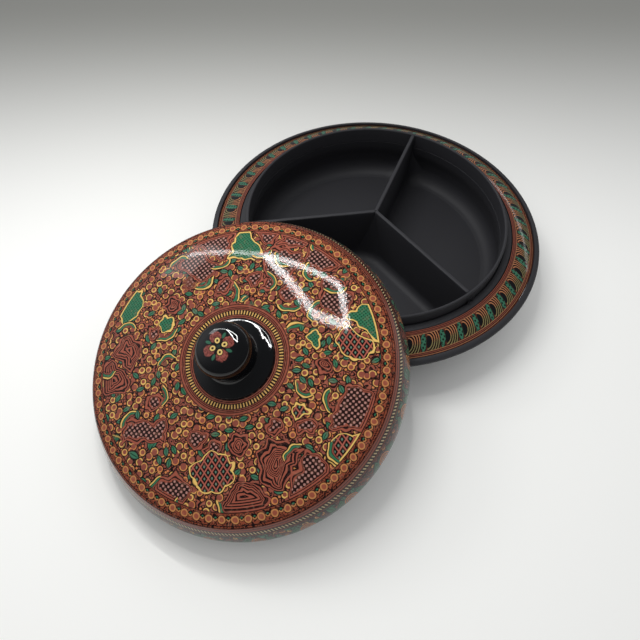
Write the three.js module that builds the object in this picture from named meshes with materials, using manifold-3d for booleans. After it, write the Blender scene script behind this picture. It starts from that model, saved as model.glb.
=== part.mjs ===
// A lacquered covered dish: a low bowl with a patterned brim and a black well that three dividers split into
// three compartments, and a low domed lid with a turned knob. The lid is off and leans on the dish, its lowest
// rim point on the table and its rim across the collar. Millimetres, +Z up, origin at the middle of the base
// board's underside.
import * as THREE from "three";
import { mergeVertices } from "three/addons/utils/BufferGeometryUtils.js";
import Module from "manifold-3d";

// Gaps
const glueGap = 0.3; // between pieces that are glued or seated
const lidClearance = 0.6; // round the collar, inside the lid's mouth
const restGap = 0.3; // under the leaning lid, where its rim crosses the collar

// Dish, outside
const dishRadius = 150;
const lipWidth = 4.9;
const lipRise = 3.2; // half the height of the lip's round
const lipHeight = 44.6; // of the lip's widest point above the table
const brimEdgeHeight = 45.4; // top of the brim at the lip
const brimInnerHeight = 53.7; // top of the brim at the seat
const brimWidth = 20.7;
const seatWidth = 6.7; // the ledge between the brim and the collar
const brimCrown = 1.2; // how far the band's middle stands over a straight slope
const brimThickness = 4.5;
const bowlBaseOutset = 6; // from the foot of the well's side out to the bowl's base
const bowlTopInset = 8.7; // from the lip's outer edge to the top of the bowl's side
const bowlBelly = 20; // how far the curve's control point stands outside the base
const bowlBellyHeight = 6;
const bowlWall = 4;
const baseThickness = 5;

// Dish, inside
const collarHeight = 64;
const collarThickness = 2.6;
const seatHeight = 53.3; // the ledge that the lid stands on when it is closed
const seatThickness = 3.9;
const wellBulge = 4.8; // how far the well's widest ring stands outside the collar's inner face
const wellBellyHeight = 22; // height of the widest ring, where the foot's round starts
const wellFootWidth = 12;
const wellWall = 3;
const floorThickness = 2.7;
const dividerThickness = 3.4;
const dividerDrop = 0.5; // from the collar's top to a divider's top
const dividerFootRadius = 6;
const dividerBearing = 196; // degrees, of the first divider; the others follow by thirds
const dividerNames = ["divider_left", "divider_right", "divider_far"];

// Lid, in its own frame: +Z along its axis, origin at the middle of the mouth
const lidWall = 3.3;
const mouthRingHeight = 5;
const sideHeight = 35;
const sideBelly = 7.5; // how far the side curve's control point stands outside the mouth
const sideBellyHeight = 14;
const shoulderInset = 6.7; // from the mouth's outer edge in to the top of the side
const crownRise = 9.1; // from the crown's edge up to its middle
const crownThickness = 4;
const crownPower = 3;
const crownShoulder = 0.7;
const knobBaseRadius = 29.6;
const knobBaseEdge = 1.2;
const knobPlinthRise = 3.8; // from the base's edge up to the neck's foot
const knobPlinthSag = 0.5; // how far the plinth's control point hangs under a straight slope
const knobNeckRadius = 19;
const knobNeckRound = 1.4; // width and height of the bevel at the neck's foot
const knobHeadRadius = 20;
const knobHeadHeight = 19.6; // the head's rim, over the knob's underside
const knobDome = 11.4;
const knobDomePower = 2.4; // 2 is an ellipse; above it the middle is flatter and the edge rounder
const pegRadius = 6;
const pegDepth = 14; // in the knob

// Where the lid leans
const lidBearing = -116.4; // degrees, from the dish's middle to the lid
const crossingAngle = 37.1; // degrees round the mouth, from its highest point to where it crosses the collar

// Steps round each turned piece
const turnSteps = 48;
const knobSteps = 36;
const pegSteps = 24;

// Steps along the curves of the profiles
const bowlSteps = 6;
const brimSteps = 4;
const lipSteps = 8;
const collarEdgeSteps = 4;
const wellFootSteps = 5;
const wellSideSteps = 3;
const filletSteps = 4;
const lidSideSteps = 6;
const crownSteps = 8;
const plinthSteps = 3;
const domeSteps = 8;
const mergeDistance = 1e-3;

// Worked out
const brimOuterRadius = dishRadius - lipWidth - glueGap;
const brimInnerRadius = brimOuterRadius - brimWidth;
const seatOuterRadius = brimInnerRadius - glueGap;
const seatInnerRadius = seatOuterRadius - seatWidth;
const collarOuterRadius = seatInnerRadius - glueGap;
const collarInnerRadius = collarOuterRadius - collarThickness;
const wellRadius = collarInnerRadius + wellBulge;
const seatUnderside = seatHeight - seatThickness;
const wellWallTop = seatUnderside - glueGap;
const floorUnderside = baseThickness + glueGap;
const floorHeight = floorUnderside + floorThickness;
const wellFootRadius = wellRadius - wellFootWidth;
const bowlBaseRadius = wellFootRadius + bowlBaseOutset;
const bowlTopHeight = brimEdgeHeight - brimThickness - glueGap;
const dividerTop = collarHeight - dividerDrop;
const mouthInnerRadius = collarOuterRadius + lidClearance;
const mouthOuterRadius = mouthInnerRadius + lidWall;
const shoulderRadius = mouthOuterRadius - shoulderInset;
const crownEdgeHeight = sideHeight + glueGap;
const knobUnderside = crownEdgeHeight + crownRise + glueGap;

const blackLacquer = { color: 0x101214, roughness: 0.18, metalness: 0 };
const patternedLacquer = { color: 0x8a4a3a, roughness: 0.3, metalness: 0 };
const bareWood = { color: 0x6b4a30, roughness: 0.7, metalness: 0 };

const radians = THREE.MathUtils.degToRad;

// Points from start to end of a quarter ellipse, or any other stretch of one
function ellipse(middle, width, height, from, to, steps) {
  return Array.from({ length: steps + 1 }, (_, i) => {
    const angle = radians(from + ((to - from) * i) / steps);
    return [middle[0] + width * Math.cos(angle), middle[1] + height * Math.sin(angle)];
  });
}

function bezier(start, control, end, steps) {
  const curve = new THREE.QuadraticBezierCurve(
    new THREE.Vector2(...start),
    new THREE.Vector2(...control),
    new THREE.Vector2(...end),
  );
  return curve.getPoints(steps).map((point) => [point.x, point.y]);
}

// A copy of an open profile, moved to its left by a distance, each point along its own normal
function offset(profile, distance) {
  return profile.map((point, i) => {
    const before = profile[Math.max(i - 1, 0)];
    const after = profile[Math.min(i + 1, profile.length - 1)];
    const along = new THREE.Vector2(after[0] - before[0], after[1] - before[1]).normalize();
    return [point[0] - along.y * distance, point[1] + along.x * distance];
  });
}

// A solid turned about Z from a profile of [radius, height] points, anticlockwise. A profile that doesn't touch
// the axis is closed on itself.
function turn(profile, steps) {
  const points = profile.map(([radius, height]) => new THREE.Vector2(radius, height));
  if (points[0].x > 0) points.push(points[0].clone());
  return new THREE.LatheGeometry(points, steps).rotateX(Math.PI / 2);
}

function piece(name, geometry, finish) {
  const mesh = new THREE.Mesh(geometry, new THREE.MeshStandardMaterial(finish));
  mesh.name = name;
  return mesh;
}

const wasm = await Module();
wasm.setup();

function solidOf(geometry) {
  const bare = new THREE.BufferGeometry().setAttribute("position", geometry.getAttribute("position"));
  if (geometry.index) bare.setIndex(geometry.index);
  const merged = mergeVertices(bare, mergeDistance);
  return new wasm.Manifold(
    new wasm.Mesh({
      numProp: 3,
      vertProperties: merged.attributes.position.array,
      triVerts: new Uint32Array(merged.index.array),
    }),
  );
}

function geometryOf(solid) {
  const mesh = solid.getMesh();
  return new THREE.BufferGeometry()
    .setAttribute("position", new THREE.BufferAttribute(mesh.vertProperties, mesh.numProp))
    .setIndex(new THREE.BufferAttribute(mesh.triVerts, 1))
    .toNonIndexed();
}

// The bowl's outer shell

const bowlOutside = bezier(
  [bowlBaseRadius, 0],
  [bowlBaseRadius + bowlBelly, bowlBellyHeight],
  [dishRadius - bowlTopInset, bowlTopHeight],
  bowlSteps,
);

function bowlWallPiece() {
  const inside = offset(bowlOutside, bowlWall);
  inside[0] = [bowlBaseRadius - bowlWall, 0];
  const top = bowlOutside.at(-1);
  inside[inside.length - 1] = [top[0] - bowlWall, top[1]];
  return turn([...bowlOutside, ...inside.reverse()], turnSteps);
}

function baseBoard() {
  const radius = bowlBaseRadius - bowlWall - glueGap;
  return turn([[0, 0], [radius, 0], [radius, baseThickness], [0, baseThickness]], turnSteps);
}

// The brim's top at a radius: a slope with a slight crown
function brimTop(radius) {
  const share = (radius - brimInnerRadius) / brimWidth;
  const slope = brimInnerHeight + (brimEdgeHeight - brimInnerHeight) * share;
  return slope + 4 * brimCrown * share * (1 - share);
}

function brim() {
  const top = Array.from({ length: brimSteps + 1 }, (_, i) => {
    const radius = brimOuterRadius - (brimWidth * i) / brimSteps;
    return [radius, brimTop(radius)];
  });
  const under = [
    [brimInnerRadius, brimInnerHeight - brimThickness],
    [brimOuterRadius, brimEdgeHeight - brimThickness],
  ];
  return turn([...under, ...top], turnSteps);
}

function brimLip() {
  return turn(ellipse([dishRadius - lipWidth, lipHeight], lipWidth, lipRise, -90, 90, lipSteps), turnSteps);
}

// The seat, the collar and the well

function seatLedge() {
  return turn(
    [
      [seatInnerRadius, seatUnderside],
      [seatOuterRadius, seatUnderside],
      [seatOuterRadius, seatHeight],
      [seatInnerRadius, seatHeight],
    ],
    turnSteps,
  );
}

function collar() {
  const half = collarThickness / 2;
  const round = ellipse([collarInnerRadius + half, collarHeight - half], half, half, 0, 180, collarEdgeSteps);
  return turn([[collarInnerRadius, seatUnderside], [collarOuterRadius, seatUnderside], ...round], turnSteps);
}

// The well's inside from the floor up to the collar, kept inwards of the wall by a gap
function wellInside(gap) {
  const foot = ellipse(
    [wellFootRadius, wellBellyHeight],
    wellFootWidth - gap,
    wellBellyHeight - floorHeight - gap,
    -90,
    0,
    wellFootSteps,
  );
  const side = Array.from({ length: wellSideSteps }, (_, i) => {
    const share = (i + 1) / wellSideSteps;
    const narrowing = (1 - Math.cos(Math.PI * share)) / 2;
    const radius = wellRadius + (collarInnerRadius - wellRadius) * narrowing;
    return [radius - gap, wellBellyHeight + (wellWallTop - wellBellyHeight) * share];
  });
  return [...foot, ...side];
}

function wellWallPiece() {
  const inside = wellInside(0);
  const outside = offset(inside, -wellWall);
  outside[0] = [wellFootRadius, floorUnderside];
  outside[1][1] = Math.max(outside[1][1], floorUnderside);
  outside[outside.length - 1] = [collarInnerRadius + wellWall, wellWallTop];
  return turn([...outside, ...inside.reverse()], turnSteps);
}

function wellFloor() {
  const radius = wellFootRadius - glueGap;
  return turn(
    [[0, floorUnderside], [radius, floorUnderside], [radius, floorHeight], [0, floorHeight]],
    turnSteps,
  );
}

// Everything inside the well that a divider may fill
function dividerSpace() {
  const side = wellInside(glueGap);
  return solidOf(
    turn([[0, side[0][1]], ...side, [collarInnerRadius - glueGap, dividerTop], [0, dividerTop]], turnSteps),
  );
}

// A divider stands along +X before it is turned to its bearing. Its foot spreads in a round fillet on each side,
// and its inner end is mitred to meet the other two.
function divider(space, bearing) {
  const half = dividerThickness / 2;
  const foot = dividerFootRadius;
  const bottom = floorHeight + glueGap;
  const fillet = ellipse([half + foot, bottom + foot], foot, foot, 270, 180, filletSteps);
  const left = fillet.map(([x, z]) => [-x, z]).reverse();
  const outline = [...fillet, [half, dividerTop], [-half, dividerTop], ...left];
  const shape = new THREE.Shape(outline.map(([x, z]) => new THREE.Vector2(x, z)));
  const board = new THREE.ExtrudeGeometry(shape, { depth: dishRadius, bevelEnabled: false })
    .rotateX(Math.PI / 2)
    .rotateZ(Math.PI / 2)
    .rotateZ(radians(bearing));
  const inset = glueGap / (2 * Math.sin(Math.PI / dividerNames.length));
  const spread = Math.tan(Math.PI / dividerNames.length) * dishRadius;
  const wedge = new THREE.Shape([
    new THREE.Vector2(inset, 0),
    new THREE.Vector2(inset + dishRadius, -spread),
    new THREE.Vector2(inset + dishRadius, spread),
  ]);
  const mitre = new THREE.ExtrudeGeometry(wedge, { depth: collarHeight, bevelEnabled: false })
    .rotateZ(radians(bearing));
  return geometryOf(solidOf(board).intersect(solidOf(mitre)).intersect(space));
}

// The lid

function mouthRing() {
  return turn(
    [
      [mouthInnerRadius, 0],
      [mouthOuterRadius, 0],
      [mouthOuterRadius, mouthRingHeight],
      [mouthInnerRadius, mouthRingHeight],
    ],
    turnSteps,
  );
}

function lidSide() {
  const foot = mouthRingHeight + glueGap;
  const outside = bezier(
    [mouthOuterRadius, foot],
    [mouthOuterRadius + sideBelly, sideBellyHeight],
    [shoulderRadius, sideHeight],
    lidSideSteps,
  );
  const inside = outside.map(([radius, height]) => [radius - lidWall, height]);
  return turn([...outside, ...inside.reverse()], turnSteps);
}

// The crown's top at a radius: nearly flat in the middle, and round over the shoulder
function crownTop(radius) {
  return crownEdgeHeight + crownRise * (1 - (radius / shoulderRadius) ** crownPower) ** crownShoulder;
}

function lidCrown() {
  const bore = pegRadius + glueGap;
  const innerEdge = shoulderRadius - lidWall;
  const top = Array.from({ length: crownSteps + 1 }, (_, i) => {
    const radius = bore + (shoulderRadius - bore) * Math.sin((Math.PI / 2) * (i / crownSteps));
    return [radius, crownTop(Math.min(radius, shoulderRadius))];
  });
  const under = top
    .filter(([radius]) => radius < innerEdge)
    .map(([radius, height]) => [radius, height - crownThickness]);
  return turn([...under, [innerEdge, crownEdgeHeight], ...top.reverse()], turnSteps);
}

// The knob's top, from the head's rim to the middle
function knobTop(rim) {
  return Array.from({ length: domeSteps + 1 }, (_, i) => {
    const angle = (Math.PI / 2) * (i / domeSteps);
    return [
      knobHeadRadius * Math.cos(angle) ** (2 / knobDomePower),
      rim + knobDome * Math.sin(angle) ** (2 / knobDomePower),
    ];
  });
}

function knob() {
  const bore = pegRadius + glueGap;
  const base = knobUnderside;
  const edge = base + knobBaseEdge;
  const rim = base + knobHeadHeight;
  const neckFoot = [knobNeckRadius + knobNeckRound, edge + knobPlinthRise];
  const plinth = bezier(
    [knobBaseRadius, edge],
    [(knobBaseRadius + neckFoot[0]) / 2, edge + knobPlinthRise / 2 - knobPlinthSag],
    neckFoot,
    plinthSteps,
  );
  const neck = [
    [knobNeckRadius, neckFoot[1] + knobNeckRound],
    [knobNeckRadius, rim - (knobHeadRadius - knobNeckRadius)],
  ];
  const boreTop = base + pegDepth + glueGap;
  const underside = [[0, boreTop], [bore, boreTop], [bore, base], [knobBaseRadius, base]];
  return turn([...underside, ...plinth, ...neck, ...knobTop(rim)], knobSteps);
}

function knobPeg() {
  const bottom = crownTop(0) - crownThickness;
  const top = knobUnderside + pegDepth;
  return turn([[0, bottom], [pegRadius, bottom], [pegRadius, top], [0, top]], pegSteps);
}

// Assembly

function dish() {
  const group = new THREE.Group();
  group.add(
    piece("base_board", baseBoard(), bareWood),
    piece("outer_bowl_wall", bowlWallPiece(), blackLacquer),
    piece("brim", brim(), patternedLacquer),
    piece("brim_lip", brimLip(), blackLacquer),
    piece("seat_ledge", seatLedge(), blackLacquer),
    piece("collar", collar(), blackLacquer),
    piece("well_wall", wellWallPiece(), blackLacquer),
    piece("well_floor", wellFloor(), blackLacquer),
  );
  const space = dividerSpace();
  dividerNames.forEach((name, i) => {
    const bearing = dividerBearing + (360 / dividerNames.length) * i;
    group.add(piece(name, divider(space, bearing), blackLacquer));
  });
  return group;
}

// The lid leans on the dish: its rim's lowest point is on the table, and the inner edge of its mouth crosses
// the outer edge of the collar at the collar's height, at two points.
function lid() {
  const upToCrossing = mouthInnerRadius * Math.cos(radians(crossingAngle));
  const halfChord = mouthInnerRadius * Math.sin(radians(crossingAngle));
  const tilt = Math.asin((collarHeight + restGap) / (mouthOuterRadius + upToCrossing));
  const reach = upToCrossing * Math.cos(tilt) + Math.sqrt(collarOuterRadius ** 2 - halfChord ** 2);

  const upright = new THREE.Group();
  upright.add(
    piece("lid_mouth_ring", mouthRing(), blackLacquer),
    piece("lid_side", lidSide(), patternedLacquer),
    piece("lid_crown", lidCrown(), patternedLacquer),
    piece("knob", knob(), blackLacquer),
    piece("knob_peg", knobPeg(), bareWood),
  );
  upright.rotation.y = tilt;

  const leaning = new THREE.Group();
  leaning.add(upright);
  leaning.rotation.z = radians(lidBearing);
  leaning.position.set(
    reach * Math.cos(radians(lidBearing)),
    reach * Math.sin(radians(lidBearing)),
    mouthOuterRadius * Math.sin(tilt),
  );
  return leaning;
}

const coveredDish = new THREE.Group();
coveredDish.add(dish(), lid());

export default coveredDish;
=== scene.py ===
"""The looks of a lacquer covered dish: a low dish with a patterned brim and a black divided well, and a domed lid
with a turned knob that leans on it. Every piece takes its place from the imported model. Lengths in this file are
millimetres, and become metres where a mesh, a lamp or the camera is made."""

import functools
import math

import bmesh
import bpy
import numpy as np
from mathutils import Matrix, Vector, noise


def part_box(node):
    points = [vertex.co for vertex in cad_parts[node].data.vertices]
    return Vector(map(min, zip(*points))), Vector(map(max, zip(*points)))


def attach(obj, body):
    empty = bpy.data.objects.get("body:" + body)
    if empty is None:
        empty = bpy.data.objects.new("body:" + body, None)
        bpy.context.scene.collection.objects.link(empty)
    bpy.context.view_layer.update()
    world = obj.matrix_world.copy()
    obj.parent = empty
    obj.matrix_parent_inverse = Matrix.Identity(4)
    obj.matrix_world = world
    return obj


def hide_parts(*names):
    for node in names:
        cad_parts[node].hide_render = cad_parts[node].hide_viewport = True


bl_info = {
    "name": "Lacquer covered dish",
    "version": (1, 0, 0),
    "blender": (4, 5, 0),
    "location": "View3D > Sidebar > Covered dish",
    "description": "Finishes a covered dish of incised lacquer, piece by piece",
    "category": "Object",
}

MM = 0.001

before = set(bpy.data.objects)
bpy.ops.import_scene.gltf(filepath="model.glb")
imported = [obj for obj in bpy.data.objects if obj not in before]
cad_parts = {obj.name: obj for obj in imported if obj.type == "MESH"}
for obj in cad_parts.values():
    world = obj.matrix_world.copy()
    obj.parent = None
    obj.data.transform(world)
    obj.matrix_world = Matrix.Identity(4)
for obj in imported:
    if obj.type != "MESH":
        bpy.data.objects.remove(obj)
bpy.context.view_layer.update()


# What the model says


def corners(node):
    """The separate corners of a CAD node, in metres."""
    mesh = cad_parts[node].data
    places = np.empty(len(mesh.vertices) * 3)
    mesh.vertices.foreach_get("co", places)
    return np.unique(places.reshape(-1, 3), axis=0)


def lid_place():
    """The lid's own frame: origin at the middle of its mouth, +Z along its axis, +X down its slope."""
    ring = corners("lid_mouth_ring")
    middle = ring.mean(0)
    axis = Vector(corners("knob").mean(0) - middle).normalized()
    origin = Vector(middle) + axis * min((ring - middle) @ np.array(axis))
    down_slope = (axis * axis.z - Vector((0, 0, 1))).normalized()
    turned = Matrix((down_slope, axis.cross(down_slope), axis)).transposed().to_4x4()
    return Matrix.Translation(origin) @ turned


def meridian(node, place):
    """The outline of a turned CAD node, as [radius, height] points in order, and whether it closes on itself."""
    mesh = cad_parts[node].data
    to_own = place.inverted()
    own = [to_own @ vertex.co / MM for vertex in mesh.vertices]
    flat = 0.004
    joined = {}
    for edge in mesh.edges:
        ends = [own[index] for index in edge.vertices]
        if all(abs(end.y) < flat and end.x > -flat for end in ends):
            first, second = ((round(end.x, 2) + 0.0, round(end.z, 2) + 0.0) for end in ends)
            if first != second:
                joined.setdefault(first, set()).add(second)
                joined.setdefault(second, set()).add(first)
    tips = sorted(point for point, others in joined.items() if len(others) == 1)
    walk = [tips[0] if tips else min(joined)]
    while True:
        onward = sorted(joined[walk[-1]] - set(walk))
        if not onward:
            break
        walk.append(onward[0])
    if len(walk) != len(joined):
        raise ValueError(f"the outline of {node} isn't one line")
    return np.array(walk), not tips


def divider_line(node):
    """The direction in which a CAD divider runs from the middle, and half its thickness, from its largest face."""
    face = max(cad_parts[node].data.polygons, key=lambda face: face.area)
    across = Vector((face.normal.x, face.normal.y, 0)).normalized()
    along = Vector((-across.y, across.x, 0))
    if along.dot(Vector(corners(node).mean(0))) < 0:
        along.negate()
    return np.array(along[:2]), abs(across.dot(face.center)) / MM


DISH_PLACE = Matrix.Identity(4)
LID_PLACE = lid_place()
PLACES = {"dish": DISH_PLACE, "lid": LID_PLACE}
DIVIDERS = ("divider_left", "divider_right", "divider_far")


# Settings


def length(name, description, default):
    return bpy.props.FloatProperty(name=name, description=description, default=default, unit="LENGTH", precision=5)


def tone(name, description, default):
    return bpy.props.FloatVectorProperty(
        name=name, description=description, default=linear(default), size=3, subtype="COLOR", min=0, max=1
    )


def linear(code):
    """Scene-linear red, green and blue of a colour written as on the screen, such as 8a4a3a."""
    parts = [int(code[start : start + 2], 16) / 255 for start in (0, 2, 4)]
    return tuple(part / 12.92 if part <= 0.04045 else ((part + 0.055) / 1.055) ** 2.4 for part in parts)


class LacquerSettings(bpy.types.PropertyGroup):
    """The colours of the lacquer and how it shines."""

    black: tone("Black", "Black lacquer of the dish and the knob", "060709")
    red: tone("Red-brown", "Ground of the patterned lacquer", "84473a")
    orange: tone("Orange", "Most of the small curls", "c47c48")
    yellow: tone("Yellow", "Fine lines and the brightest curls", "dcb565")
    green: tone("Green", "Leaves", "316a4c")
    core: tone("Core", "Thin lacquer over bare wood", "1b1512")
    gloss: bpy.props.FloatProperty(name="Roughness", description="Of the black lacquer", default=0.04, min=0, max=1)


class TurningSettings(bpy.types.PropertyGroup):
    """How finely the turned pieces are made."""

    steps: bpy.props.IntProperty(name="Steps", description="Steps round a turned piece", default=256, min=24)
    knob_steps: bpy.props.IntProperty(name="Knob steps", description="Steps round the knob", default=144, min=24)
    edge: length("Edge", "Round on a turned edge", 0.5 * MM)


class WellSettings(bpy.types.PropertyGroup):
    """The rounds where the well's floor meets its walls."""

    divider_foot: length("Divider foot", "Round at the foot of a divider", 8 * MM)
    corner: bpy.props.FloatProperty(
        name="Corner", description="Size of a compartment's corner rounds, in feet of a divider", default=2.0, min=0.1
    )
    divider_edge: length("Divider edge", "Round along the top of a divider", 1.1 * MM)


# Numbers over a surface, for shader and geometry trees


def sum_with(operation):
    """A method that works out one sum of a field and the numbers that the sum takes besides."""
    return lambda field, *others: field.math(operation, *others)


class Field:
    """A number that a node tree works out, with the usual sums."""

    def __init__(self, tree, socket):
        self.tree = tree
        self.socket = socket

    def math(self, operation, *others, clamp=False):
        node = self.tree.nodes.new("ShaderNodeMath")
        node.operation = operation
        node.use_clamp = clamp
        for socket, value in zip(node.inputs, (self, *others)):
            join(self.tree, value, socket)
        return Field(self.tree, node.outputs[0])

    __add__, __sub__ = sum_with("ADD"), sum_with("SUBTRACT")
    __mul__, __truediv__ = sum_with("MULTIPLY"), sum_with("DIVIDE")
    __pow__, __abs__ = sum_with("POWER"), sum_with("ABSOLUTE")
    sin, cos, sqrt = sum_with("SINE"), sum_with("COSINE"), sum_with("SQRT")
    least, most, fraction = sum_with("MINIMUM"), sum_with("MAXIMUM"), sum_with("FRACT")

    def __neg__(self):
        return self * -1.0

    def __rsub__(self, other):
        return -self + other

    def over(self, limit, soft):
        """1 where the number is above the limit, with an edge as wide as soft."""
        return ((self - limit) / soft).math("ADD", 0.5, clamp=True)

    def under(self, limit, soft):
        return ((self - limit) / -soft).math("ADD", 0.5, clamp=True)

    def line(self, middle, width, soft):
        """1 along a line of that width where the number is the middle one."""
        return abs(self - middle).under(width / 2, soft)

    def invert(self):
        return (-self).math("ADD", 1.0, clamp=True)


def join(tree, value, socket):
    """Links a field or a socket to a socket, or sets the socket to a plain value."""
    if isinstance(value, Field):
        tree.links.new(value.socket, socket)
    elif isinstance(value, bpy.types.NodeSocket):
        tree.links.new(value, socket)
    else:
        socket.default_value = value


def add(tree, kind, links=None, **values):
    """A new node with its properties set, and its inputs joined by their names or numbers."""
    node = tree.nodes.new(kind)
    for name, value in values.items():
        setattr(node, name, value)
    for name, value in (links or {}).items():
        join(tree, value, node.inputs[name])
    return node


def colour_sockets(sockets):
    return [socket for socket in sockets if socket.type == "RGBA"]


def hypot(a, b):
    return (a * a + b * b).sqrt()


# Materials

DARK = "180f10"


def rgba(colour):
    """What a colour socket takes, from another socket, the name of a colour in the settings, or a written code."""
    if isinstance(colour, bpy.types.NodeSocket):
        return colour
    settings = bpy.context.scene.lacquer_settings
    return (*(getattr(settings, colour) if colour in settings.__annotations__ else linear(colour)), 1)


class Paint:
    """One material whose colour is laid on in layers. Lengths are millimetres in the piece's own frame."""

    def __init__(self, name, place, ground):
        self.material = bpy.data.materials.new(name)
        self.material.use_nodes = True
        self.tree = self.material.node_tree
        self.shader = next(node for node in self.tree.nodes if node.type == "BSDF_PRINCIPLED")
        to_own = place.inverted()
        self.where = self.node("ShaderNodeMapping", {
            "Vector": self.node("ShaderNodeTexCoord").outputs["Object"],
            "Location": to_own.translation / MM,
            "Rotation": to_own.to_euler(),
            "Scale": [1 / MM] * 3,
        }).outputs["Vector"]
        self.x, self.y, self.z = self.split(self.where)
        self.radius = hypot(self.x, self.y)
        self.angle = self.y.math("ARCTAN2", self.x)
        self.colour = ground

    def node(self, kind, links=None, **values):
        return add(self.tree, kind, links, **values)

    def texture(self, kind, size, where, inputs, **values):
        """A texture of that size, over the surface or over other places."""
        return self.node(kind, {"Vector": where or self.where, "Scale": 1 / size, **inputs}, **values)

    def split(self, vector):
        node = self.node("ShaderNodeSeparateXYZ", {"Vector": vector})
        return [Field(self.tree, output) for output in node.outputs]

    def vector(self, x, y, z=0.0):
        return self.node("ShaderNodeCombineXYZ", {"X": x, "Y": y, "Z": z}).outputs["Vector"]

    def layer(self, mask, colour):
        """Lays a colour over what is there, where the mask is 1."""
        node = self.node("ShaderNodeMix", {"Factor": mask}, data_type="RGBA")
        for value, socket in zip((self.colour, colour), colour_sockets(node.inputs)):
            join(self.tree, rgba(value), socket)
        self.colour = colour_sockets(node.outputs)[0]

    def blend(self, mask, below, above):
        """A colour between two others."""
        kept, self.colour = self.colour, below
        self.layer(mask, above)
        mixed, self.colour = self.colour, kept
        return mixed

    def noise(self, size, detail=2.0, where=None, roughness=0.5):
        """Smooth noise from 0 to 1, with lumps about that size."""
        node = self.texture("ShaderNodeTexNoise", size, where, {"Detail": detail, "Roughness": roughness})
        return Field(self.tree, node.outputs[0])

    def cells(self, size, spread=0.8, solid=False, where=None):
        """Scattered places, one to a cell: how far the nearest is, which way, and three random numbers for it."""
        shape = {"voronoi_dimensions": "3D" if solid else "2D"}
        node = self.texture("ShaderNodeTexVoronoi", size, where, {"Randomness": spread}, **shape)
        ends = {0: where or self.where, 1: node.outputs["Position"]}
        away = self.node("ShaderNodeVectorMath", ends, operation="SUBTRACT")
        distance = Field(self.tree, node.outputs["Distance"]) * size
        return distance, self.split(away.outputs[0]), self.split(node.outputs["Color"])

    def edge(self, size, spread, where):
        """How far it is to the border between two of the cells that are made with the same words."""
        shape = {"voronoi_dimensions": "2D", "feature": "DISTANCE_TO_EDGE"}
        node = self.texture("ShaderNodeTexVoronoi", size, where, {"Randomness": spread}, **shape)
        return Field(self.tree, node.outputs["Distance"]) * size

    def warped(self, size, reach):
        """The places on the surface, bent by smooth noise, and their x and y."""
        lumps = self.texture("ShaderNodeTexNoise", size, None, {"Detail": 1.0})
        right, ahead, _ = self.split(lumps.outputs["Color"])
        x = self.x + (right - 0.5) * (2 * reach)
        y = self.y + (ahead - 0.5) * (2 * reach)
        return self.vector(x, y), x, y

    def row(self, count, shift=0.0):
        """Where a place is in one of a number of equal steps round the piece, from -0.5 to 0.5."""
        return (self.angle * (count / math.tau) + shift).fraction() - 0.5

    def checks(self, pitch):
        """1 in dots that stand in rows, at that distance from each other."""
        fine = math.pi * math.sqrt(2) / pitch
        a, b = math.cos(0.45) * fine, math.sin(0.45) * fine
        return ((self.x * a + self.y * b).sin() * (self.y * a - self.x * b).sin()).over(0.3, 0.35)

    @functools.cached_property
    def dots(self):
        return self.checks(2.8)

    @functools.cached_property
    def hatch(self):
        return self.checks(1.9)

    def lines(self, field, middles, width, soft, colour=DARK):
        """Lines of one width where a field is each of the middles."""
        for middle in middles:
            self.layer(field.line(middle, width, soft), colour)

    def waves(self, *sizes):
        """Makes the surface uneven, with lumps of each size and height."""
        for size, height in sizes:
            self.bump(self.noise(size, 2), height)

    def bump(self, height, depth):
        """Raises the surface by a field times a depth in millimetres, over any bump that it has."""
        node = self.node("ShaderNodeBump", {"Distance": depth * MM, "Height": height})
        normal = self.shader.inputs["Normal"]
        if normal.links:
            join(self.tree, normal.links[0].from_socket, node.inputs["Normal"])
        join(self.tree, node.outputs["Normal"], normal)

    def finish(self, roughness, specular=0.5):
        join(self.tree, rgba(self.colour), self.shader.inputs["Base Color"])
        join(self.tree, roughness, self.shader.inputs["Roughness"])
        self.shader.inputs["Specular IOR Level"].default_value = specular
        return self.material


def gloss(haze, depth):
    """Roughness of polished black lacquer, rougher by a depth where a haze of 0 to 1 is strong."""
    return haze * depth + (bpy.context.scene.lacquer_settings.gloss - 0.02)


def black_lacquer(place=DISH_PLACE, name="black_lacquer"):
    """Gloss black lacquer: slow waves from the brush, and a fine unevenness that breaks up its highlights."""
    if name in bpy.data.materials:
        return bpy.data.materials[name]
    paint = Paint(name, place, "black")
    haze = paint.noise(24, 3)
    paint.layer(haze.over(0.55, 0.5) * 0.5, "0c0d10")
    paint.waves((9, 0.04), (2.2, 0.02))
    return paint.finish(gloss(haze, 0.03))


def core_lacquer(place=DISH_PLACE, name="core_lacquer"):
    """Thin satin lacquer over wood, with its grain just showing."""
    paint = Paint(name, place, "core")
    grain = paint.noise(1.2, 3, paint.vector(paint.x * 0.08, paint.y, paint.z))
    paint.layer(grain.over(0.55, 0.2) * 0.6, "30241d")
    paint.bump(grain, 0.05)
    return paint.finish(0.45)


def squiggles(paint, pitch, share, region=1.0):
    """Short black strokes that wander over the ground, as the engraver fills what is left between the motifs."""
    strokes = (paint.noise(pitch, 1, roughness=0.4) * 34.0).sin()
    paint.layer(strokes.over(1 - 2 * share, 0.5) * region, DARK)


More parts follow.
